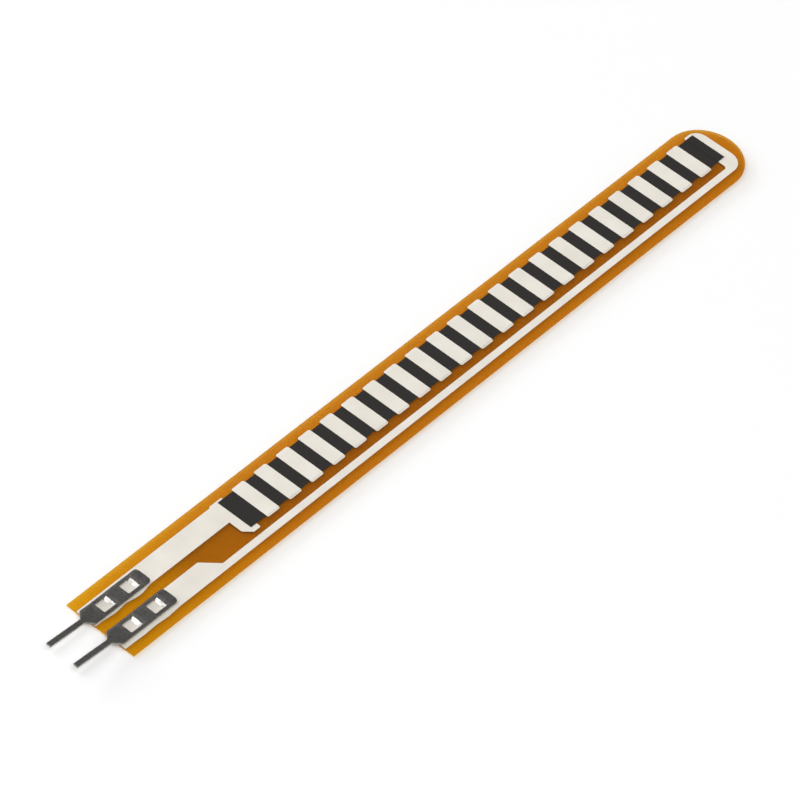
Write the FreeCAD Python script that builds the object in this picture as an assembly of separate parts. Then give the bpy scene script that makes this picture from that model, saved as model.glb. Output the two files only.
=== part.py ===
"""Flex sensor: a printed polyimide strip with two stamped terminals crimped through it.

Millimetres. The strip is drawn lying flat: x runs along it from its square end, y across it from
its centre line, and z up from its back face. At the end every piece is moved so that the origin
is the middle of the bottom of the whole object, and +X still points from the terminals to the nose.
"""
import FreeCAD, Part
import math
import os

# The base film, how far it runs past the carbon strip, and how far to the side of the print it was
# cut out
film_width = 6.35
film_thickness = 0.127
nose_margin = 1.86
film_offset_y = 0.05

# The printed layers
silver_thickness = 0.02
carbon_thickness = 0.025

# The carbon strip and the silver bars across it share one centre line, which lies off the film's own
sensing_line_y = 0.69
carbon_start_x = 14.82
carbon_length = 55.36
carbon_width = 3.18

# The silver bars, spread evenly between the plain stretches at the two ends of the carbon
pad_count = 22
pad_length = 1.305
pad_overhang = 0.185
pad_corner_radius = 0.15
first_gap = 1.65
last_gap = 1.825

# The silver conductors: two wide lands under the terminals, one thin trace back from the nose
land_width = 1.85
land_outset = 0.135
trace_width = 0.58
ink_corner_radius = 0.12
ink_inner_radius = 0.06
return_land_length = 9.56

# Crimping leaves a wavy edge on each land, beside its windows and deeper at the second one
input_bulge = 0.12
return_bulge = 0.04
bulge_radius = 2.5

# The hammer-shaped contact under the near end of the carbon
head_reach_before = 0.77
head_reach_under = 0.58
head_lip_outer = 0.16
head_lip_inner = 0.42
head_chamfer = 0.63

# The bracket-shaped contact under the far end of the carbon
bracket_reach_beyond = 0.74
bracket_reach_under = 0.78
bracket_lip_outer = 0.22
bracket_inner_radius = 1.3
bracket_outer_radius = 1.0
bracket_step_slant = 0.18

# The stamped terminals
terminal_pitch = 2.54
terminal_row_y = 0.06
stock_thickness = 0.16
tab_width = 0.42
tab_reach = 4.0
tab_rise_degrees = 4.6
flare_start_x = -0.5
body_start_x = 0.05
body_end_x = 5.9
body_width = 1.53
body_corner_radius = 0.3
crease_x = 0.9
crease_radius = 0.6

# The windows and the lances cut from them
window_count = 2
first_window_x = 1.28
window_pitch = 2.5
window_length = 1.23
window_width = 1.0
window_corner_radius = 0.1
shear_clearance = 0.03
lance_heel_inside = 0.01
lance_tip_chamfer = 0.28
slot_clearance = 0.03

# Heights of the stack, up from the film's back face
film_top = film_thickness
land_top = film_top + silver_thickness
plate_middle_z = land_top + stock_thickness / 2
clinch_middle_z = -stock_thickness / 2

# Places that several pieces share
land_middle_y = terminal_pitch / 2 + land_outset
land_outer_y = land_middle_y + land_width / 2
land_inner_y = land_middle_y - land_width / 2
trace_inner_y = -land_outer_y + trace_width
film_half_width = film_width / 2
carbon_end_x = carbon_start_x + carbon_length
film_length = carbon_end_x + nose_margin
carbon_inner_y = sensing_line_y - carbon_width / 2
carbon_outer_y = sensing_line_y + carbon_width / 2
pad_pitch = (carbon_length - first_gap - last_gap - pad_length) / (pad_count - 1)
terminal_ys = (terminal_row_y + terminal_pitch / 2, terminal_row_y - terminal_pitch / 2)

# A lance folds back sharply under the film, and leaves its window in as wide a bend as that allows
lance_drop = plate_middle_z - clinch_middle_z
lance_heel_middle = stock_thickness / 2 + lance_heel_inside
lance_root_middle = lance_drop - lance_heel_middle

# Further up and down than a terminal reaches, for outlines that go right through it
through = tab_reach + stock_thickness

# Two points closer than this are one
same_point = 1e-6


def corner_arc(before, corner, after, radius):
    """Start, middle and end of the arc that rounds one corner of a path in a plane."""
    to_before = (before - corner).normalize()
    to_after = (after - corner).normalize()
    half_angle = to_before.getAngle(to_after) / 2
    inward = (to_before + to_after).normalize()
    side = radius / math.tan(half_angle)
    middle = corner + inward * (radius / math.sin(half_angle) - radius)
    return corner + to_before * side, middle, corner + to_after * side


def outline_face(corners, z):
    """Level face inside straight sides, with an arc at each corner (x, y, radius) that has a radius."""
    points = [FreeCAD.Vector(x, y, z) for x, y, _ in corners]
    arcs = []
    for i, (_, _, radius) in enumerate(corners):
        if radius > 0:
            arcs.append(corner_arc(points[i - 1], points[i], points[(i + 1) % len(points)], radius))
        else:
            arcs.append((points[i], None, points[i]))
    edges = []
    for i, (start, middle, end) in enumerate(arcs):
        if middle is not None:
            edges.append(Part.Arc(start, middle, end).toShape())
        next_start = arcs[(i + 1) % len(arcs)][0]
        if end.distanceToPoint(next_start) > same_point:
            edges.append(Part.LineSegment(end, next_start).toShape())
    return Part.Face(Part.Wire(edges))


def layer(corners, bottom_z, thickness):
    """Flat solid with the given outline."""
    return outline_face(corners, bottom_z).extrude(FreeCAD.Vector(0, 0, thickness))


def block(x0, x1, y0, y1, z0, z1):
    """Box between two corners."""
    return Part.makeBox(x1 - x0, y1 - y0, z1 - z0, FreeCAD.Vector(x0, y0, z0))


def bent_strip(path, thickness, y0, y1):
    """Sheet bent along a path of (x, z, bend radius) at its mid-thickness, with its width along y."""
    points = [FreeCAD.Vector(x, y0, z) for x, z, _ in path]
    across = FreeCAD.Vector(0, 1, 0)
    sides = []
    for side in (1, -1):
        edges = []
        direction = (points[1] - points[0]).normalize()
        offset = direction.cross(across) * (side * thickness / 2)
        last = points[0] + offset
        first = last
        for i in range(1, len(points) - 1):
            start, middle, end = corner_arc(points[i - 1], points[i], points[i + 1], path[i][2])
            direction = (points[i + 1] - points[i]).normalize()
            next_offset = direction.cross(across) * (side * thickness / 2)
            middle_offset = (offset + next_offset).normalize() * (thickness / 2)
            if last.distanceToPoint(start + offset) > same_point:
                edges.append(Part.LineSegment(last, start + offset).toShape())
            arc = Part.Arc(start + offset, middle + middle_offset, end + next_offset)
            edges.append(arc.toShape())
            last = end + next_offset
            offset = next_offset
        edges.append(Part.LineSegment(last, points[-1] + offset).toShape())
        sides.append((first, edges, points[-1] + offset))
    (first_a, edges_a, last_a), (first_b, edges_b, last_b) = sides
    caps = [
        Part.LineSegment(first_a, first_b).toShape(),
        Part.LineSegment(last_a, last_b).toShape(),
    ]
    wire = Part.Wire(Part.sortEdges(edges_a + edges_b + caps)[0])
    return Part.Face(wire).extrude(FreeCAD.Vector(0, y1 - y0, 0))


def window_starts():
    """Where each window of a terminal begins, along the strip."""
    return [first_window_x + i * window_pitch for i in range(window_count)]


def film_slots():
    """The holes that the lances push through the film and the ink on it."""
    half = window_width / 2 - shear_clearance + slot_clearance
    wall_outside = lance_root_middle + stock_thickness / 2
    slots = []
    for y in terminal_ys:
        for start in window_starts():
            root = start + window_length
            slot_start = root - wall_outside - lance_heel_inside - slot_clearance
            slot_end = root + slot_clearance
            slots.append(block(slot_start, slot_end, y - half, y + half, -through, through))
    return slots


def wavy_edge(y, first_depth):
    """Corners of a land's lower edge where it bulges beside the windows, from the square end on."""
    half_wave = window_pitch / 2
    middles = [start + window_length / 2 for start in window_starts()]
    corners = [(middles[0] - half_wave, y, bulge_radius)]
    for i, middle in enumerate(middles):
        corners.append((middle, y - first_depth * (i + 1), bulge_radius))
        corners.append((middle + half_wave, y, bulge_radius))
    return corners


def make_base_film():
    """The polyimide strip, square at the terminals and full round at the nose."""
    corners = [
        (0, film_offset_y - film_half_width, 0),
        (film_length, film_offset_y - film_half_width, film_half_width),
        (film_length, film_offset_y + film_half_width, film_half_width),
        (0, film_offset_y + film_half_width, 0),
    ]
    return layer(corners, 0, film_thickness).cut(film_slots())


def make_input_conductor():
    """Silver land under the input terminal, ending in the hammer-shaped contact."""
    head_x = carbon_start_x - head_reach_before
    head_end_x = carbon_start_x + head_reach_under
    head_top_y = carbon_outer_y + head_lip_outer
    head_bottom_y = carbon_inner_y - head_lip_inner
    corners = [(0, land_inner_y, 0)]
    corners += wavy_edge(land_inner_y, input_bulge)
    corners += [
        (head_x, land_inner_y, ink_inner_radius),
        (head_x, head_bottom_y + head_chamfer, ink_corner_radius),
        (head_x + head_chamfer, head_bottom_y, ink_corner_radius),
        (head_end_x, head_bottom_y, ink_corner_radius),
        (head_end_x, head_top_y, ink_corner_radius),
        (head_x, head_top_y, ink_inner_radius),
        (head_x, land_outer_y, ink_inner_radius),
        (0, land_outer_y, 0),
    ]
    return layer(corners, film_top, silver_thickness).cut(film_slots())


def make_return_conductor():
    """Silver land, the trace along the film's edge and the bracket-shaped contact at the nose."""
    taper = land_width - trace_width
    bracket_x = carbon_end_x - bracket_reach_under
    bracket_end_x = carbon_end_x + bracket_reach_beyond
    bracket_top_y = carbon_outer_y + bracket_lip_outer
    corners = [(0, -land_outer_y, 0)]
    corners += wavy_edge(-land_outer_y, return_bulge)
    corners += [
        (bracket_end_x, -land_outer_y, bracket_inner_radius),
        (bracket_end_x, bracket_top_y, bracket_outer_radius),
        (bracket_x, bracket_top_y, ink_corner_radius),
        (bracket_x, trace_inner_y + bracket_step_slant, ink_corner_radius),
        (bracket_x - bracket_step_slant, trace_inner_y, ink_corner_radius),
        (return_land_length + taper, trace_inner_y, ink_corner_radius),
        (return_land_length, -land_inner_y, ink_corner_radius),
        (0, -land_inner_y, 0),
    ]
    return layer(corners, film_top, silver_thickness).cut(film_slots())


def make_carbon_strip(conductors):
    """The resistive strip, which lies on the film and steps up over the contact at each end."""
    low_top = film_top + carbon_thickness
    high_top = low_top + silver_thickness
    near_step_x = carbon_start_x + head_reach_under + carbon_thickness
    far_step_x = carbon_end_x - bracket_reach_under - carbon_thickness
    strip = block(carbon_start_x, carbon_end_x, carbon_inner_y, carbon_outer_y, film_top, low_top)
    near = block(carbon_start_x, near_step_x, carbon_inner_y, carbon_outer_y, film_top, high_top)
    far = block(far_step_x, carbon_end_x, carbon_inner_y, carbon_outer_y, film_top, high_top)
    return strip.fuse([near, far]).removeSplitter().cut(conductors)


def make_silver_pad(index, carbon):
    """One silver bar, printed over the carbon and down on to the film at both ends."""
    start = carbon_start_x + first_gap + index * pad_pitch
    end = start + pad_length
    corners = [
        (start, carbon_inner_y - pad_overhang, pad_corner_radius),
        (end, carbon_inner_y - pad_overhang, pad_corner_radius),
        (end, carbon_outer_y + pad_overhang, pad_corner_radius),
        (start, carbon_outer_y + pad_overhang, pad_corner_radius),
    ]
    on_film = layer(corners, film_top, silver_thickness)
    crest_y0 = carbon_inner_y - silver_thickness
    crest_y1 = carbon_outer_y + silver_thickness
    crest_top = film_top + carbon_thickness + silver_thickness
    over_carbon = block(start, end, crest_y0, crest_y1, film_top, crest_top)
    return on_film.fuse(over_carbon).removeSplitter().cut(carbon)


def make_lance(y, window_start):
    """The tongue of a window, bent down through the film and clinched flat against its back."""
    root = window_start + window_length
    wall_x = root - lance_root_middle
    half = window_width / 2 - shear_clearance
    in_bends = math.pi / 2 * lance_drop
    tip_x = wall_x - lance_heel_middle - (window_length - 2 * shear_clearance - in_bends)
    path = [
        (root + stock_thickness, plate_middle_z, 0),
        (wall_x, plate_middle_z, lance_root_middle),
        (wall_x, clinch_middle_z, lance_heel_middle),
        (tip_x, clinch_middle_z, 0),
    ]
    strip = bent_strip(path, stock_thickness, y - half, y + half)
    corners = [
        (root + stock_thickness, y - half, 0),
        (root + stock_thickness, y + half, 0),
        (tip_x + lance_tip_chamfer, y + half, 0),
        (tip_x, y + half - lance_tip_chamfer, 0),
        (tip_x, y - half + lance_tip_chamfer, 0),
        (tip_x + lance_tip_chamfer, y - half, 0),
    ]
    return strip.common(layer(corners, -through, 2 * through))


def make_terminal(y):
    """Stamped terminal: solder tab, flare and windowed plate from one strip, with its lances."""
    tip_x = -tab_reach
    rise = math.tan(math.radians(tab_rise_degrees))
    blank_start_x = tip_x - body_width
    blank_end_x = body_end_x + body_width
    path = [
        (blank_start_x, plate_middle_z + (crease_x - blank_start_x) * rise, 0),
        (crease_x, plate_middle_z, crease_radius),
        (blank_end_x, plate_middle_z, 0),
    ]
    blank = bent_strip(path, stock_thickness, y - body_width, y + body_width)
    tab = tab_width / 2
    half = body_width / 2
    corners = [
        (tip_x, y - tab, 0),
        (flare_start_x, y - tab, tab),
        (body_start_x, y - half, tab),
        (body_end_x, y - half, body_corner_radius),
        (body_end_x, y + half, body_corner_radius),
        (body_start_x, y + half, tab),
        (flare_start_x, y + tab, tab),
        (tip_x, y + tab, 0),
    ]
    plate = blank.common(layer(corners, -through, 2 * through))
    side = window_width / 2
    lances = []
    for start in window_starts():
        opening = [
            (start, y - side, window_corner_radius),
            (start + window_length, y - side, 0),
            (start + window_length, y + side, 0),
            (start, y + side, window_corner_radius),
        ]
        plate = plate.cut(layer(opening, -through, 2 * through))
        lances.append(make_lance(y, start))
    return plate.fuse(lances).removeSplitter()


def make_all():
    """Every piece by name, in the strip's own coordinates."""
    input_conductor = make_input_conductor()
    return_conductor = make_return_conductor()
    carbon = make_carbon_strip([input_conductor, return_conductor])
    pieces = {
        "base_film": make_base_film(),
        "input_conductor": input_conductor,
        "return_conductor": return_conductor,
        "carbon_strip": carbon,
    }
    for i in range(pad_count):
        pieces[f"silver_pad_{i + 1:02d}"] = make_silver_pad(i, carbon)
    pieces["input_terminal"] = make_terminal(terminal_ys[0])
    pieces["return_terminal"] = make_terminal(terminal_ys[1])
    return pieces


def main():
    """Move every piece to the object's own origin and write it."""
    os.makedirs("parts", exist_ok=True)
    middle_x = (film_length - tab_reach) / 2
    to_origin = FreeCAD.Vector(-middle_x, -film_offset_y, stock_thickness)
    for name, shape in make_all().items():
        shape.translate(to_origin)
        if not shape.isValid() or len(shape.Solids) != 1:
            raise RuntimeError(f"{name} is not one sound solid")
        shape.exportStep(f"parts/{name}.step")
        print(name, len(shape.Faces), "faces", round(shape.Volume, 4), "mm3")


main()
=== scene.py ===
"""Flex sensor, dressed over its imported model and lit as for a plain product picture.

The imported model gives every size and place, in metres: x runs along the strip from the solder tabs
to the round nose, y across it and z up out of the printed face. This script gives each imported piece
its finish, models the two stamped terminals again with rolled edges and bent tongues, and adds the
floor, the lamps and the camera.
"""

import logging
import math
from collections.abc import Callable
from dataclasses import dataclass
from enum import Enum

import bpy
from mathutils import Matrix, Vector


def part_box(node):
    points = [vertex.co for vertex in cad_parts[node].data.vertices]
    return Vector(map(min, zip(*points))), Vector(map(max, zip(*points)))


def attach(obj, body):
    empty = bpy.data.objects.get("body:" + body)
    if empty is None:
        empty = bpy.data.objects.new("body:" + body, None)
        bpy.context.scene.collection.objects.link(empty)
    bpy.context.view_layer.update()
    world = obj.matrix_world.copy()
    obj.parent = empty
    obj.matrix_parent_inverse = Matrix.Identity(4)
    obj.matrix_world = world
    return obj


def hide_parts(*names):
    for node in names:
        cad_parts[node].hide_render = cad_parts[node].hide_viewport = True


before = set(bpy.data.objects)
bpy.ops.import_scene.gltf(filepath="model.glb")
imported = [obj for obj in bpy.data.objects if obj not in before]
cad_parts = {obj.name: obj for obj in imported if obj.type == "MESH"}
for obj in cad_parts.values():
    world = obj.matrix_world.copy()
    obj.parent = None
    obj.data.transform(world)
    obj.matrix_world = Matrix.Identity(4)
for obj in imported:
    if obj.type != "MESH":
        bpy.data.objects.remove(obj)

logging.basicConfig(level=logging.INFO, format="%(message)s")
log = logging.getLogger("flex_sensor")

MM = 0.001
ROOT_BODY = "root"

# Two places closer than this, in metres, are one
NEAR = 1e-7

# A reach is stretched by this, so that the points at its very end are counted in
SLACK = 1.02

Colour = tuple[float, float, float, float]
Setting = bool | int | float | str | tuple[float, ...]
Tree = bpy.types.NodeTree
Socket = bpy.types.NodeSocket


# Small helpers


def linear(hex_colour: str) -> Colour:
    """Turn an sRGB colour into the linear one that shaders take.

    Args:
        hex_colour: Six hex digits after a hash sign.

    Returns:
        Red, green, blue and an alpha of 1.
    """
    parts = [int(hex_colour[i : i + 2], 16) / 255 for i in (1, 3, 5)]
    red, green, blue = (p / 12.92 if p <= 0.04045 else ((p + 0.055) / 1.055) ** 2.4 for p in parts)
    return (red, green, blue, 1.0)


def in_metres(ends: tuple[float, float]) -> tuple[float, float]:
    """Turn two lengths in millimetres into metres."""
    return (ends[0] * MM, ends[1] * MM)


def near(one: float, other: float) -> bool:
    """Tell whether two places along an axis, in metres, are one."""
    return abs(one - other) < NEAR


def direction(azimuth_degrees: float, elevation_degrees: float) -> Vector:
    """Find the unit vector that points a given way.

    Args:
        azimuth_degrees: Compass direction, counted from +X towards +Y.
        elevation_degrees: Height above the floor.

    Returns:
        The vector, in the frame's axes.
    """
    azimuth = math.radians(azimuth_degrees)
    elevation = math.radians(elevation_degrees)
    level = math.cos(elevation)
    return Vector((level * math.cos(azimuth), level * math.sin(azimuth), math.sin(elevation)))


def select_vertices(piece: bpy.types.Object, wanted: Callable[[Vector], bool]) -> None:
    """Select the vertices of a piece in edit mode whose place passes a test.

    Args:
        piece: The piece, in edit mode.
        wanted: A function of a vertex's place that says whether it is selected.
    """
    bpy.ops.mesh.select_mode(type="VERT")
    bpy.ops.mesh.select_all(action="DESELECT")
    bpy.ops.object.mode_set(mode="OBJECT")
    for vertex in piece.data.vertices:
        vertex.select = wanted(vertex.co)
    bpy.ops.object.mode_set(mode="EDIT")


def add_node(
    tree: Tree, kind: str, inputs: dict[str | int, Setting | Socket] | None = None
) -> bpy.types.Node:
    """Add one shader node, set it and feed it.

    Args:
        tree: The node tree it goes into.
        kind: The node's class name.
        inputs: A value for each of the node's options, and a value or another node's output for
            each of its inputs, by name or number.

    Returns:
        The new node.
    """
    node = tree.nodes.new(kind)
    for name, value in (inputs or {}).items():
        if isinstance(value, Socket):
            tree.links.new(value, node.inputs[name])
        elif isinstance(name, str) and hasattr(node, name):
            setattr(node, name, value)
        else:
            node.inputs[name].default_value = value
    return node


def place_on_piece(tree: Tree) -> Socket:
    """Give the place on the piece, in metres, in the piece's own axes."""
    return add_node(tree, "ShaderNodeTexCoord").outputs["Object"]


def noise(tree: Tree, place: Socket, size_mm: float, detail: float, roughness: float = 0.5) -> Socket:
    """Add a soft random pattern.

    Args:
        tree: The node tree.
        place: The place on the piece, in metres.
        size_mm: About how wide one cell of the pattern is.
        detail: How many finer patterns lie on the first.
        roughness: How strong each of them is against the one before.

    Returns:
        The pattern's value, mostly between 0.3 and 0.7.
    """
    cells_per_metre = 1.0 / (size_mm * MM)
    pattern = add_node(
        tree,
        "ShaderNodeTexNoise",
        {"Scale": cells_per_metre, "Detail": detail, "Roughness": roughness, "Vector": place},
    )
    return pattern.outputs["Fac"]


def ramp(
    tree: Tree,
    value: Socket,
    ends: tuple[float, float],
    results: tuple[float, float] = (0.0, 1.0),
    form: str = "LINEAR",
) -> Socket:
    """Turn a value that runs between two ends into one that runs between two others.

    Args:
        tree: The node tree.
        value: The value.
        ends: Where the first and the second result are reached.
        results: The two results, past which it doesn't go.
        form: How it runs from one to the other, by the name that the node has for it.

    Returns:
        The turned value.
    """
    turned = add_node(
        tree,
        "ShaderNodeMapRange",
        {
            "interpolation_type": form,
            "From Min": ends[0],
            "From Max": ends[1],
            "To Min": results[0],
            "To Max": results[1],
            "Value": value,
        },
    )
    return turned.outputs[0]


def calculate(tree: Tree, operation: str, *terms: float | Socket, clamp: bool = False) -> Socket:
    """Do one sum inside a shader.

    Args:
        tree: The node tree.
        operation: Which sum, by the name that the maths node has for it.
        terms: Its terms, in order.
        clamp: Whether the answer is held between 0 and 1.

    Returns:
        The answer.
    """
    inputs = {"operation": operation, "use_clamp": clamp} | dict(enumerate(terms))
    return add_node(tree, "ShaderNodeMath", inputs).outputs[0]


def blend(tree: Tree, first: str, second: str, share: Socket) -> Socket:
    """Blend two colours.

    Args:
        tree: The node tree.
        first: The colour where the share is 0, as a hash sign and six hex digits.
        second: The colour where it is 1.
        share: The share of the second.

    Returns:
        The blended colour.
    """
    colours = {"data_type": "RGBA", 6: linear(first), 7: linear(second), "Factor": share}
    return add_node(tree, "ShaderNodeMix", colours).outputs[2]


def emboss(tree: Tree, pattern: Socket, depth_mm: float, strength: float = 1.0) -> Socket:
    """Raise a pattern on the surface.

    Args:
        tree: The node tree.
        pattern: The pattern.
        depth_mm: How high its value of 1 stands.
        strength: How much of the bump is used.

    Returns:
        The bumpy surface's normal.
    """
    inputs = {"Strength": strength, "Distance": depth_mm * MM, "Height": pattern}
    return add_node(tree, "ShaderNodeBump", inputs).outputs["Normal"]


# Finishes


@dataclass(frozen=True)
class Finish:
    """What every finish has: a name, and the record's material slot that it belongs to, which nothing in
    this script reads.
    """

    name: str
    slot: str

    def shade(self, tree: Tree) -> Socket:
        """Build the finish's nodes.

        Args:
            tree: An empty node tree.

        Returns:
            The shader that the surface shows.
        """
        raise NotImplementedError

    def material(self) -> bpy.types.Material:
        """Give the finish's material, made the first time that it is asked for.

        Returns:
            The material.
        """
        made = bpy.data.materials.get(self.name)
        if made is None:
            made = bpy.data.materials.new(self.name)
            made.use_nodes = True
            made.node_tree.nodes.clear()
            surface = self.shade(made.node_tree)
            add_node(made.node_tree, "ShaderNodeOutputMaterial", {"Surface": surface})
        return made


@dataclass(frozen=True)
class PolyimideFilm(Finish):
    """Cast polyimide film, slit to width and die-cut: clear dark amber, glossy on both faces.

    The light that crosses it, is sent back by what lies below and crosses it again comes out a deep
    orange, so the film looks lighter where the floor under it is lit. Its tint also carries painted
    light, paler and yellower towards the square end, and painted shade, darker among the prints.
    Places are millimetres.
    """

    name: str = "polyimide_film_cast_amber"
    slot: str = "polyimide_film"
    # Painted light: paler and yellower than the tint further on, for the light that gets under the film by
    # the terminals
    painted_light_tint_at_square_end: str = "#FFEE7C"
    tint_further_on: str = "#F7DD90"
    painted_light_x: tuple[float, float] = (-36.0, -14.0)
    cloud_mm: float = 5.0
    cloud_share: float = 0.3
    # Painted shade: the tint among the prints is multiplied by this colour
    painted_shade_tint: str = "#F3F0FF"
    prints_start_x: tuple[float, float] = (-28.0, -24.0)
    prints_end_x: tuple[float, float] = (36.0, 35.0)
    prints_half_width: tuple[float, float] = (2.2, 1.85)
    body_colour: str = "#C07812"
    body_share: float = 0.02
    gloss_share: float = 0.4
    roughness: float = 0.16
    index: float = 1.70
    ripple_mm: float = 2.5
    ripple_depth_mm: float = 0.004

    def shade(self, tree: Tree) -> Socket:
        """Mix what the film lets through with its own amber body and its gloss.

        Args:
            tree: An empty node tree.

        Returns:
            The film's shader.
        """
        place = place_on_piece(tree)
        through = add_node(tree, "ShaderNodeBsdfTransparent", {"Color": self.tint(tree, place)})
        ripple = noise(tree, place, self.ripple_mm, detail=2.0)
        body = add_node(
            tree,
            "ShaderNodeBsdfPrincipled",
            {
                "Base Color": linear(self.body_colour),
                "Roughness": self.roughness,
                "IOR": self.index,
                "Normal": emboss(tree, ripple, self.ripple_depth_mm),
            },
        )
        fresnel = add_node(tree, "ShaderNodeFresnel", {"IOR": self.index}).outputs["Fac"]
        share = calculate(tree, "MULTIPLY_ADD", fresnel, self.gloss_share, self.body_share)
        film = add_node(
            tree, "ShaderNodeMixShader", {0: share, 1: through.outputs[0], 2: body.outputs[0]}
        )
        return film.outputs[0]

    def tint(self, tree: Tree, place: Socket) -> Socket:
        """Tint the light that the film lets through: painted light pales it towards the square end and
        painted shade darkens it among the prints.

        Args:
            tree: The node tree.
            place: The place on the film, in metres.

        Returns:
            The colour.
        """
        where = add_node(tree, "ShaderNodeSeparateXYZ", {0: place})
        cloud = noise(tree, place, self.cloud_mm, detail=3.0)
        # Painted light: the tint runs from the paler one at the square end to the one further on, with
        # random clouds
        painted_light_drift = ramp(tree, where.outputs["X"], in_metres(self.painted_light_x))
        uneven = calculate(tree, "MULTIPLY_ADD", cloud, self.cloud_share, painted_light_drift, clamp=True)
        # Painted shade: the tint is multiplied darker among the prints
        with_painted_shade = add_node(
            tree,
            "ShaderNodeMix",
            {
                "data_type": "RGBA",
                "blend_type": "MULTIPLY",
                "Factor": self.painted_shade_share(tree, where),
                6: blend(tree, self.painted_light_tint_at_square_end, self.tint_further_on, uneven),
                7: linear(self.painted_shade_tint),
            },
        )
        return with_painted_shade.outputs[2]

    def painted_shade_share(self, tree: Tree, where: bpy.types.Node) -> Socket:
        """Find the film that is framed by prints, where painted shade darkens the tint for the shadow that
        the prints cast on what lies under it.

        Args:
            tree: The node tree.
            where: The node that gives the place by axis.

        Returns:
            A share: 1 inside the frame of prints and 0 along the film's margins and round its nose.
        """
        aside = calculate(tree, "ABSOLUTE", where.outputs["Y"])
        share = ramp(tree, aside, in_metres(self.prints_half_width))
        for ends in (self.prints_start_x, self.prints_end_x):
            inside = ramp(tree, where.outputs["X"], in_metres(ends))
            share = calculate(tree, "MULTIPLY", share, inside)
        return share


@dataclass(frozen=True)
class SilverInk(Finish):
    """Silver-filled polymer ink, screen-printed and cured: matt warm white with a fine dry grain.

    The flakes lie flat under a skin of binder, so the ink reads as pale matt paint and not as metal.
    """

    name: str = "silver_ink_screen_printed"
    slot: str = "silver_ink"
    light: str = "#EEE9DF"
    dark: str = "#E3DDD2"
    roughness: float = 0.62
    specular: float = 0.35
    cloud_mm: float = 2.2
    grain_mm: float = 0.16
    grain_roughness: float = 0.6
    grain_share: float = 0.5
    tone_range: tuple[float, float] = (0.5, 1.0)
    grain_depth_mm: float = 0.006
    grain_strength: float = 0.6

    def shade(self, tree: Tree) -> Socket:
        """Vary the ink's tone in soft clouds and fine grain.

        Args:
            tree: An empty node tree.

        Returns:
            The ink's shader.
        """
        place = place_on_piece(tree)
        # The real flakes are a few thousandths of a millimetre, so their clumps are drawn instead
        grain = noise(tree, place, self.grain_mm, detail=4.0, roughness=self.grain_roughness)
        cloud = noise(tree, place, self.cloud_mm, detail=2.0)
        both = calculate(tree, "MULTIPLY_ADD", grain, self.grain_share, cloud)
        tone = ramp(tree, both, self.tone_range)
        ink = add_node(
            tree,
            "ShaderNodeBsdfPrincipled",
            {
                "Roughness": self.roughness,
                "Specular IOR Level": self.specular,
                "Base Color": blend(tree, self.light, self.dark, tone),
                "Normal": emboss(tree, grain, self.grain_depth_mm, self.grain_strength),
            },
        )
        return ink.outputs[0]


@dataclass(frozen=True)
class CarbonInk(Finish):
    """Carbon-filled polymer ink, screen-printed: soft black with a faint brown-grey bloom."""

    name: str = "carbon_ink_screen_printed"
    slot: str = "carbon_ink"
    light: str = "#2A2724"
    dark: str = "#1F1C1A"
    roughness: float = 0.7
    specular: float = 0.35
    grain_mm: float = 0.14
    grain_roughness: float = 0.65
    grain_depth_mm: float = 0.008
    grain_strength: float = 0.7

    def shade(self, tree: Tree) -> Socket:
        """Speckle the black with its bloom.

        Args:
            tree: An empty node tree.

        Returns:
            The ink's shader.
        """
        place = place_on_piece(tree)
        # The real particles can't be seen, so the mesh marks of the printing screen are drawn coarser
        grain = noise(tree, place, self.grain_mm, detail=4.0, roughness=self.grain_roughness)
        ink = add_node(
            tree,
            "ShaderNodeBsdfPrincipled",
            {
                "Roughness": self.roughness,
                "Specular IOR Level": self.specular,
                "Base Color": blend(tree, self.dark, self.light, grain),
                "Normal": emboss(tree, grain, self.grain_depth_mm, self.grain_strength),
            },
        )
        return ink.outputs[0]


@dataclass(frozen=True)
class TinPlate(Finish):
    """Bright tin over phosphor bronze, stamped and handled: a grey mirror, uneven in small patches.

    It takes nearly all of its tone from what it mirrors, so a flat stretch can look almost black
    beside a bend that catches a lamp.
    """

    name: str = "tin_plate_on_bronze"
    slot: str = "tinned_bronze"
    bright: str = "#E6E3DE"
    dull: str = "#A8A5A0"
    smooth: float = 0.24
    rough: float = 0.36
    patch_mm: float = 0.5
    patch_range: tuple[float, float] = (0.35, 0.65)
    dent_mm: float = 0.5
    dent_depth_mm: float = 0.008

    def shade(self, tree: Tree) -> Socket:
        """Vary the tin's tone, smoothness and levelness in small patches.

        Args:
            tree: An empty node tree.

        Returns:
            The tin's shader.
        """
        place = place_on_piece(tree)
        wear = ramp(tree, noise(tree, place, self.patch_mm, detail=2.0), self.patch_range)
        dent = noise(tree, place, self.dent_mm, detail=1.0)
        tin = add_node(
            tree,
            "ShaderNodeBsdfPrincipled",
            {
                "Metallic": 1.0,
                "Base Color": blend(tree, self.bright, self.dull, wear),
                "Roughness": ramp(tree, wear, (0.0, 1.0), (self.smooth, self.rough)),
                "Normal": emboss(tree, dent, self.dent_depth_mm),
            },
        )
        return tin.outputs[0]


@dataclass(frozen=True)
class ShearedEdge(TinPlate):
    """The stock's cut edge, where the shear dragged the tin thin over the bronze: duller than the faces."""

    name: str = "sheared_edge_of_tinned_bronze"
    bright: str = "#A6A29B"
    dull: str = "#8E8A84"
    smooth: float = 0.4
    rough: float = 0.5


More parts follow.
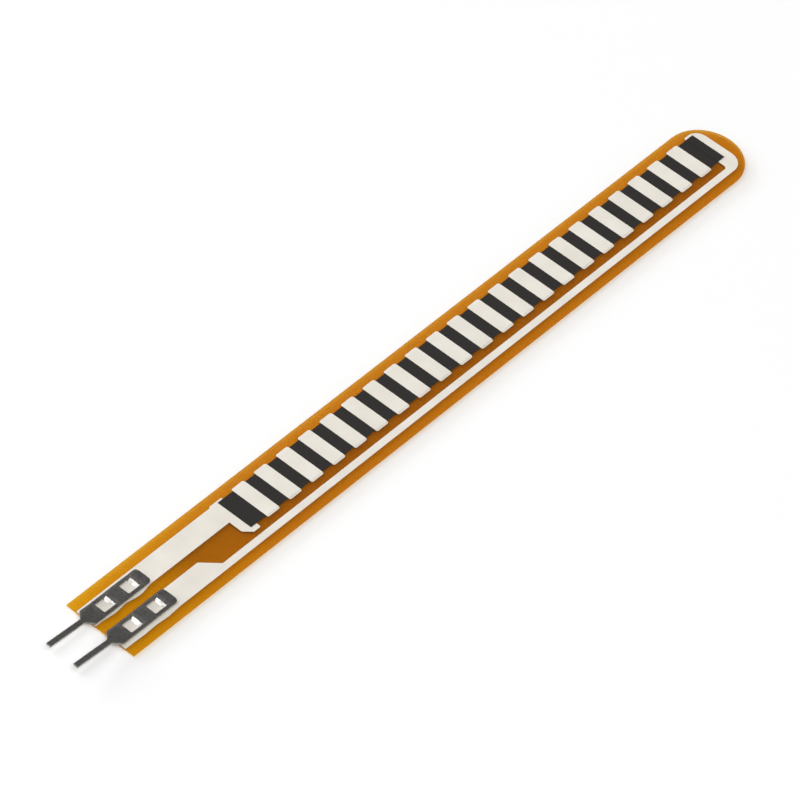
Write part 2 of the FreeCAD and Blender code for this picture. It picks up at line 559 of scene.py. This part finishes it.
@dataclass(frozen=True)
class PaperFloor(Finish):
    """Matt white background paper, which the camera sees a little brighter than the lamps make it."""

    name: str = "white_background_paper"
    slot: str = ""
    colour: str = "#F5F5F5"
    lift: float = 0.08

    def shade(self, tree: Tree) -> Socket:
        """Lay a faint glow over the paper for what looks at it directly.

        Args:
            tree: An empty node tree.

        Returns:
            The paper's shader.
        """
        paper = add_node(tree, "ShaderNodeBsdfDiffuse", {"Color": linear(self.colour)})
        ray = add_node(tree, "ShaderNodeLightPath").outputs
        direct = calculate(tree, "ADD", ray["Is Camera Ray"], ray["Is Glossy Ray"], clamp=True)
        direct = calculate(tree, "ADD", direct, ray["Is Transmission Ray"], clamp=True)
        strength = calculate(tree, "MULTIPLY", direct, self.lift)
        glow = add_node(tree, "ShaderNodeEmission", {"Strength": strength})
        both = add_node(tree, "ShaderNodeAddShader", {0: paper.outputs[0], 1: glow.outputs[0]})
        return both.outputs[0]


# The sensor


@dataclass
class PackedPieces:
    """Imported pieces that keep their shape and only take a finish."""

    title: str
    nodes: tuple[str, ...]
    finish: Finish

    def dress(self) -> None:
        """Put the finish on every one of the pieces."""
        for node in self.nodes:
            self.dress_one(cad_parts[node])
        log.info("%s: %d packed pieces in %s", self.title, len(self.nodes), self.finish.name)

    def dress_one(self, piece: bpy.types.Object) -> None:
        """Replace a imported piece's material with the finish.

        Args:
            piece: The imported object.
        """
        for slot in piece.material_slots:
            slot.material = self.finish.material()


@dataclass
class FilmSheet:
    """The film itself, with its printed face a hair under the inks so that both are seen clean from below.

    Sizes are millimetres.
    """

    node: str
    finish: Finish
    air: float = 0.002

    def model(self) -> bpy.types.Object:
        """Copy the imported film, press its printed face down and give it its finish.

        Returns:
            The film's object.
        """
        low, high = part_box(self.node)
        bpy.ops.object.select_all(action="DESELECT")
        piece = bpy.data.objects.new(f"{self.node}_sheet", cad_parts[self.node].data.copy())
        bpy.context.collection.objects.link(piece)
        piece.select_set(True)
        bpy.context.view_layer.objects.active = piece
        bpy.ops.object.mode_set(mode="EDIT")
        bpy.ops.mesh.select_all(action="SELECT")
        thinner = 1 - self.air * MM / (high.z - low.z)
        bpy.ops.transform.resize(value=(1.0, 1.0, thinner), center_override=(0.0, 0.0, low.z))
        bpy.ops.object.mode_set(mode="OBJECT")
        piece.data.materials.clear()
        piece.data.materials.append(self.finish.material())
        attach(piece, ROOT_BODY)
        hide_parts(self.node)
        log.info("%s: %d faces", piece.name, len(piece.data.polygons))
        return piece


@dataclass
class Terminal:
    """One stamped terminal: tab, flare and windowed plate, with two tongues clinched under the film.

    Sizes are millimetres, and places along the strip are counted from the film's square end. Only the
    centre line and the level that the methods hand on are places in the frame, in metres.
    """

    node: str
    finish: Finish
    edge_finish: Finish
    square_end_x: float = -34.02
    stock: float = 0.16
    tab_half_width: float = 0.21
    flare_start: float = -0.5
    body_start: float = 0.05
    body_end: float = 5.9
    body_half_width: float = 0.765
    body_corner: float = 0.3
    tab_reach: float = 4.0
    crease: float = 0.9
    crease_half_length: float = 0.024
    rise_degrees: float = 4.6
    window_starts: tuple[float, ...] = (1.28, 3.78)
    window_length: float = 1.23
    window_half_width: float = 0.5
    window_corner: float = 0.1
    lip_height: float = 0.009
    lip_reach: float = 0.24
    sag_depth: float = 0.022
    sag_reach: float = 0.3
    swell_shares: tuple[float, ...] = (0.5, 1.0, 1.15)
    tongue_half_width: float = 0.47
    tongue_drop: float = 0.307
    root_bend: float = 0.12
    ramp_degrees: float = 25.0
    ramp_length: float = 0.33
    dive_bend: float = 0.1
    dive_degrees: float = 75.0
    tongue_chamfer: float = 0.28
    edge_roll: float = 0.012
    edge_roll_steps: int = 2
    sharp_degrees: float = 50.0
    flat_face_weight: int = 100
    corner_steps: int = 6
    bend_steps: int = 8

    def columns(self) -> list[tuple[float, float, float]]:
        """List the places along the terminal where its outline or its inner lines change.

        Returns:
            For each place: where it is, the half width there, and where the inner lines run.
        """
        inner_share = self.window_half_width / self.body_half_width
        found = [(-self.tab_reach, self.tab_half_width)]
        found += self.flare()
        found.append((self.crease - self.crease_half_length, self.body_half_width))
        found.append((self.crease, self.body_half_width))
        found.append((self.crease + self.crease_half_length, self.body_half_width))
        for start in self.window_starts:
            found += [(x, self.body_half_width) for x in self.window_columns(start)]
        corner_x = self.body_end - self.body_corner
        corner_y = self.body_half_width - self.body_corner
        for step in range(self.corner_steps + 1):
            angle = math.pi / 2 * step / self.corner_steps
            x = corner_x + self.body_corner * math.sin(angle)
            found.append((x, corner_y + self.body_corner * math.cos(angle)))
        return [(x, half, half * inner_share - self.corner_inset(x)) for x, half in found]

    def window_columns(self, start: float) -> list[float]:
        """List the columns that one window needs: its lip, its round corners, its root and the sag there.

        Args:
            start: Where the window begins, in millimetres from the film's square end.

        Returns:
            The columns' places, from the tab on.
        """
        turns = [math.pi / 2 * step / self.corner_steps for step in range(self.corner_steps + 1)]
        before = [start - self.lip_reach * share for share in reversed(self.swell_shares)]
        corner = [start + self.window_corner * (1 - math.cos(turn)) for turn in turns]
        corner.append(start + self.lip_reach)
        root = start + self.window_length
        after = [root + self.sag_reach * share for share in (0.0, *self.swell_shares)]
        return before + corner + after

    def corner_inset(self, x: float) -> float:
        """Tell how far a window's round corner draws in its side at a place along the terminal.

        Args:
            x: The place, in millimetres from the film's square end.

        Returns:
            The inset in millimetres, which is 0 away from the corners.
        """
        for start in self.window_starts:
            if start - NEAR / MM <= x < start + self.window_corner:
                reach = 1 - (x - start) / self.window_corner
                return self.window_corner * (1 - math.sqrt(max(0.0, 1 - reach * reach)))
        return 0.0

    def swell(self, x: float) -> float:
        """Tell how far the plate is bent out of level beside its windows.

        The shear that frees a tongue's tip lifts the plate there, and the tongue drags it down at the root.

        Args:
            x: A place along the terminal, in millimetres from the film's square end.

        Returns:
            Height in millimetres above the plate's own level.
        """
        height = 0.0
        for start in self.window_starts:
            aside = abs(x - start)
            after = x - start - self.window_length
            if aside < self.lip_reach:
                height += self.lip_height * (1 - aside / self.lip_reach)
            if -NEAR / MM < after < self.sag_reach:
                height -= self.sag_depth * (1 - after / self.sag_reach)
        return height

    def flare(self) -> list[tuple[float, float]]:
        """Widen the tab to the body along a straight slant with a soft arc at each end.

        Returns:
            Place and half width of each point, from the tab on.
        """
        low = Vector((self.flare_start, self.tab_half_width))
        high = Vector((self.body_start, self.body_half_width))
        slant = (high - low).normalized()
        along = Vector((1.0, 0.0))
        side = self.tab_half_width * math.tan(slant.angle(along) / 2)
        points = []
        for corner, before, after in ((low, along, slant), (high, slant, along)):
            for step in range(self.corner_steps + 1):
                share = step / self.corner_steps
                start = corner - before * side
                end = corner + after * side
                point = start.lerp(corner, share).lerp(corner.lerp(end, share), share)
                points.append((point.x, point.y))
        return points

    def model(self) -> bpy.types.Object:
        """Model the terminal as a flat sheet, bend it, and give it its thickness and rolled edges.

        Returns:
            The terminal's object.
        """
        low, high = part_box(self.node)
        middle_y = (low.y + high.y) / 2
        tongue_foot = low.z + self.stock * MM / 2
        level = tongue_foot + self.tongue_drop * MM
        piece = self.draw_sheet(middle_y, level)
        for start in self.window_starts:
            self.open_window(piece, start, middle_y)
        for start in self.window_starts:
            self.pull_tongue(piece, start, middle_y, level)
        self.raise_tab(piece, middle_y, level)
        bpy.ops.object.mode_set(mode="OBJECT")
        for finish in (self.finish, self.edge_finish):
            piece.data.materials.append(finish.material())
        self.thicken(piece)
        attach(piece, ROOT_BODY)
        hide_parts(self.node)
        log.info("%s: %d faces", piece.name, len(piece.data.polygons))
        return piece

    def at(self, along: float) -> float:
        """Turn a place along the strip, in millimetres, into the frame's x."""
        return (self.square_end_x + along) * MM

    def draw_sheet(self, middle_y: float, level: float) -> bpy.types.Object:
        """Pull a three-strip ribbon along the terminal, widening it as its outline does.

        Args:
            middle_y: The terminal's centre line.
            level: Height of the middle of the sheet.

        Returns:
            The flat sheet, left in edit mode.
        """
        columns = self.columns()
        first_x, first_half, first_inner = columns[0]
        second_x = columns[1][0]
        bpy.ops.mesh.primitive_grid_add(
            x_subdivisions=1,
            y_subdivisions=3,
            size=1.0,
            location=((self.at(first_x) + self.at(second_x)) / 2, middle_y, level),
        )
        piece = bpy.context.object
        piece.name = f"{self.node}_stamped"
        piece.scale = ((second_x - first_x) * MM, 2 * first_half * MM, 1.0)
        bpy.ops.object.transform_apply(location=True, rotation=True, scale=True)
        bpy.ops.object.mode_set(mode="EDIT")
        third = first_half / 3
        self.spread(piece, self.at(first_x), middle_y, level, third, first_inner)
        self.spread(piece, self.at(second_x), middle_y, level, third, first_inner)
        last_x, last_half, last_inner = second_x, first_half, first_inner
        for x, half, inner in columns[2:]:
            select_vertices(piece, lambda p: near(p.x, self.at(last_x)))
            bpy.ops.mesh.extrude_region_move(TRANSFORM_OT_translate={"value": ((x - last_x) * MM, 0, 0)})
            bpy.ops.transform.resize(
                value=(1.0, half / last_half, 1.0), center_override=(self.at(x), middle_y, level)
            )
            grown = last_inner * half / last_half
            self.spread(piece, self.at(x), middle_y, level, grown, inner)
            last_x, last_half, last_inner = x, half, inner
        for x, _, _ in columns:
            if self.swell(x):
                select_vertices(piece, lambda p: near(p.x, self.at(x)))
                bpy.ops.transform.translate(value=(0.0, 0.0, self.swell(x) * MM))
        return piece

    def spread(
        self, piece: bpy.types.Object, x: float, middle_y: float, level: float, now: float, wanted: float
    ) -> None:
        """Move the two inner points of one column to their own distance from the centre line.

        Args:
            piece: The sheet, in edit mode.
            x: Where the column is.
            middle_y: The terminal's centre line.
            level: Height of the sheet.
            now: The inner points' present half distance, in millimetres.
            wanted: The half distance they should have, in millimetres.
        """
        reach = now * MM * SLACK
        select_vertices(piece, lambda p: near(p.x, x) and abs(p.y - middle_y) < reach)
        bpy.ops.transform.resize(value=(1.0, wanted / now, 1.0), center_override=(x, middle_y, level))

    def open_window(self, piece: bpy.types.Object, start: float, middle_y: float) -> None:
        """Cut one window out of the sheet's middle strip.

        Args:
            piece: The sheet, in edit mode.
            start: Where the window begins, in millimetres.
            middle_y: The terminal's centre line.
        """
        first = self.at(start) - NEAR
        last = self.at(start + self.window_length) + NEAR
        reach = self.window_half_width * MM * SLACK
        select_vertices(piece, lambda p: first < p.x < last and abs(p.y - middle_y) < reach)
        bpy.ops.mesh.delete(type="ONLY_FACE")

    def pull_tongue(self, piece: bpy.types.Object, start: float, middle_y: float, level: float) -> None:
        """Pull a tongue out of a window's far edge: down through the film and back flat under it.

        Args:
            piece: The sheet, in edit mode.
            start: Where the window begins, in millimetres.
            middle_y: The terminal's centre line.
            level: Height of the middle of the sheet.
        """
        root = self.at(start + self.window_length)
        reach = self.window_half_width * MM * SLACK
        slope = math.radians(self.ramp_degrees)
        dive = math.radians(self.dive_degrees)
        # What is left of the drop after the ramp and the first bends goes into the heel's bend
        drop = self.tongue_drop + self.swell(start + self.window_length)
        drop -= self.root_bend * (1 - math.cos(slope)) + self.ramp_length * math.sin(slope)
        drop -= self.dive_bend * (math.cos(slope) - math.cos(dive))
        heel_bend = drop / (1 - math.cos(dive))
        # The tongue is as long as its window, so the flat is what the bends and the ramp leave
        flat = self.window_length - self.root_bend * slope - self.ramp_length
        flat -= self.dive_bend * (dive - slope) + heel_bend * dive
        select_vertices(piece, lambda p: near(p.x, root) and abs(p.y - middle_y) < reach)
        self.bend(self.root_bend, 0.0, slope)
        narrow = self.tongue_half_width / self.window_half_width
        bpy.ops.transform.resize(value=(1.0, narrow, 1.0), center_override=(root, middle_y, level))
        self.push(self.ramp_length * math.cos(slope), self.ramp_length * math.sin(slope))
        self.bend(self.dive_bend, slope, dive)
        self.bend(heel_bend, dive, 0.0)
        self.push(flat - self.tongue_chamfer, 0.0)
        self.push(self.tongue_chamfer, 0.0)
        tip = 1 - self.tongue_chamfer / self.tongue_half_width
        bpy.ops.transform.resize(value=(1.0, tip, 1.0), center_override=(root, middle_y, level))

    def bend(self, radius: float, first: float, last: float) -> None:
        """Extrude the selected edge round an arc, towards the tab and down.

        Args:
            radius: Radius of the middle of the sheet, in millimetres.
            first: Slope at the arc's start, in radians below level.
            last: Slope at its end.
        """
        turns = [first + (last - first) * step / self.bend_steps for step in range(self.bend_steps + 1)]
        for before, after in zip(turns, turns[1:]):
            self.push(
                radius * abs(math.sin(after) - math.sin(before)),
                radius * abs(math.cos(after) - math.cos(before)),
            )

    def push(self, back: float, down: float) -> None:
        """Extrude the selected edge towards the tab and down, by so many millimetres."""
        bpy.ops.mesh.extrude_region_move(
            TRANSFORM_OT_translate={"value": (-back * MM, 0.0, -down * MM)}
        )

    def raise_tab(self, piece: bpy.types.Object, middle_y: float, level: float) -> None:
        """Bend the tab and the flare up at the crease, half at each end of a short curve.

        Args:
            piece: The sheet, in edit mode.
            middle_y: The terminal's centre line.
            level: Height of the middle of the sheet.
        """
        half_turn = math.radians(self.rise_degrees) / 2
        for place in (self.crease, self.crease - self.crease_half_length):
            limit = self.at(place) + NEAR
            select_vertices(piece, lambda p: p.x < limit and p.z > level - NEAR)
            bpy.ops.transform.rotate(
                value=-half_turn, orient_axis="Y", center_override=(self.at(place), middle_y, level)
            )

    def thicken(self, piece: bpy.types.Object) -> None:
        """Give the bent sheet its thickness, then roll its cut edges over.

        Args:
            piece: The sheet, in object mode.
        """
        # The sheet's rim is what the shear cut, so it takes the second finish
        wall = piece.modifiers.new("stock", "SOLIDIFY")
        wall.thickness = self.stock * MM
        wall.offset = 0.0
        wall.material_offset_rim = 1
        wall.use_even_offset = True
        roll = piece.modifiers.new("edge_roll", "BEVEL")
        roll.width = self.edge_roll * MM
        roll.segments = self.edge_roll_steps
        roll.limit_method = "ANGLE"
        roll.angle_limit = math.radians(self.sharp_degrees)
        for name in ("stock", "edge_roll"):
            bpy.ops.object.modifier_apply(modifier=name)
        bpy.ops.object.mode_set(mode="EDIT")
        bpy.ops.mesh.select_all(action="SELECT")
        bpy.ops.mesh.normals_make_consistent(inside=False)
        bpy.ops.object.mode_set(mode="OBJECT")
        bpy.ops.object.shade_smooth_by_angle(angle=math.radians(self.sharp_degrees))
        level = piece.modifiers.new("level_faces", "WEIGHTED_NORMAL")
        level.weight = self.flat_face_weight
        level.keep_sharp = True
        bpy.ops.object.modifier_apply(modifier="level_faces")


# The studio


class LampSide(Enum):
    """Where a lamp stands, as its compass direction in degrees from +X towards +Y."""

    KEY = 113.0
    LOW = 100.0
    FILL = -118.0


@dataclass
class SoftBox:
    """One soft box, aimed at the middle of the strip.

    Its share is how much of the light that makes white paper look white it gives to the floor.
    Lengths are metres and its elevation is degrees above the floor.
    """

    side: LampSide
    elevation: float
    distance: float
    width: float
    height: float
    share: float

    def power(self) -> float:
        """Work out the lamp's power from the share of the floor's light that it gives."""
        return self.share * (math.pi * self.distance) ** 2 / math.sin(math.radians(self.elevation))

    def build(self) -> bpy.types.Object:
        """Add the lamp and aim it.

        Returns:
            The lamp's object.
        """
        place = direction(self.side.value, self.elevation) * self.distance
        bpy.ops.object.light_add(type="AREA", location=place)
        lamp = bpy.context.object
        lamp.name = f"soft_box_{self.side.name.lower()}"
        lamp.data.shape = "RECTANGLE"
        lamp.data.size = self.width
        lamp.data.size_y = self.height
        lamp.data.energy = self.power()
        lamp.rotation_mode = "QUATERNION"
        lamp.rotation_quaternion = (-place).to_track_quat("-Z", "Y")
        log.info("%s at %.2f m", lamp.name, self.distance)
        return lamp


@dataclass
class Room:
    """White walls around a dark ceiling: light near the horizon and almost none from above.

    The walls' top and the ceiling's start are sines of the angle above the horizon.
    """

    colour: str = "#FFFFFF"
    wall: float = 0.85
    ceiling: float = 0.05
    wall_top: float = 0.2
    ceiling_start: float = 0.5

    def build(self) -> None:
        """Make the world that shines by how high a direction points."""
        world = bpy.data.worlds.new("room")
        bpy.context.scene.world = world
        world.use_nodes = True
        tree = world.node_tree
        tree.nodes.clear()
        way = add_node(tree, "ShaderNodeTexCoord").outputs["Generated"]
        height = add_node(tree, "ShaderNodeSeparateXYZ", {0: way}).outputs["Z"]
        ends = (self.wall_top, self.ceiling_start)
        strength = ramp(tree, height, ends, (self.wall, self.ceiling), "SMOOTHSTEP")
        colour = linear(self.colour)
        sky = add_node(tree, "ShaderNodeBackground", {"Color": colour, "Strength": strength})
        add_node(tree, "ShaderNodeOutputWorld", {"Surface": sky.outputs[0]})
        log.info("room: walls %.2f, ceiling %.2f", self.wall, self.ceiling)


@dataclass
class Floor:
    """A sheet of background paper, just under the clinched tongues that the sensor stands on."""

    finish: Finish
    side: float = 3.0
    level_mm: float = -0.002

    def build(self) -> bpy.types.Object:
        """Lay the paper under the sensor.

        Returns:
            The paper's object.
        """
        bpy.ops.mesh.primitive_plane_add(size=self.side, location=(0.0, 0.0, self.level_mm * MM))
        paper = bpy.context.object
        paper.name = "background_paper"
        paper.data.materials.append(self.finish.material())
        log.info("background paper, %.1f m square", self.side)
        return paper


@dataclass
class Camera:
    """A long lens that looks down along the strip from the tab end.

    Lens and sensor are millimetres, angles degrees and the clipping distances metres.
    """

    lens: float = 243.8
    azimuth: float = -147.53
    elevation: float = 46.369
    roll: float = 10.701
    distance_mm: float = 394.31
    target_mm: tuple[float, float, float] = (-1.89, -0.244, 0.287)
    sensor_width: float = 36.0
    clip_start: float = 0.01
    clip_end: float = 20.0

    def build(self) -> bpy.types.Object:
        """Add the camera, aim it and make it the scene's own.

        Returns:
            The camera's object.
        """
        target = Vector(self.target_mm) * MM
        back = direction(self.azimuth, self.elevation)
        bpy.ops.object.camera_add(location=target + back * self.distance_mm * MM)
        camera = bpy.context.object
        camera.data.lens = self.lens
        camera.data.sensor_width = self.sensor_width
        camera.data.clip_start = self.clip_start
        camera.data.clip_end = self.clip_end
        camera.rotation_mode = "QUATERNION"
        level = (-back).to_track_quat("-Z", "Y").to_matrix()
        tilt = Matrix.Rotation(math.radians(self.roll), 3, back)
        camera.rotation_quaternion = (tilt @ level).to_quaternion()
        bpy.context.scene.camera = camera
        log.info("camera: %.1f mm lens", self.lens)
        return camera


def main() -> None:
    """Dress the sensor, then set up the studio round it."""
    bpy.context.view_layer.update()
    silver = SilverInk()
    pads = tuple(sorted(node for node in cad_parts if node.startswith("silver_pad_")))
    FilmSheet("base_film", PolyimideFilm()).model()
    PackedPieces("conductors", ("input_conductor", "return_conductor"), silver).dress()
    PackedPieces("sensing strip", ("carbon_strip",), CarbonInk()).dress()
    PackedPieces("silver bars", pads, silver).dress()
    for node in ("input_terminal", "return_terminal"):
        Terminal(node, TinPlate(), ShearedEdge()).model()
    Room().build()
    Floor(PaperFloor()).build()
    SoftBox(LampSide.KEY, elevation=52.0, distance=1.7, width=1.4, height=1.4, share=0.36).build()
    SoftBox(LampSide.LOW, elevation=12.0, distance=2.0, width=2.4, height=0.4, share=0.17).build()
    SoftBox(LampSide.FILL, elevation=64.0, distance=1.8, width=1.2, height=1.2, share=0.49).build()
    Camera().build()
    bpy.context.scene.view_settings.view_transform = "Standard"


if __name__ == "__main__":
    main()
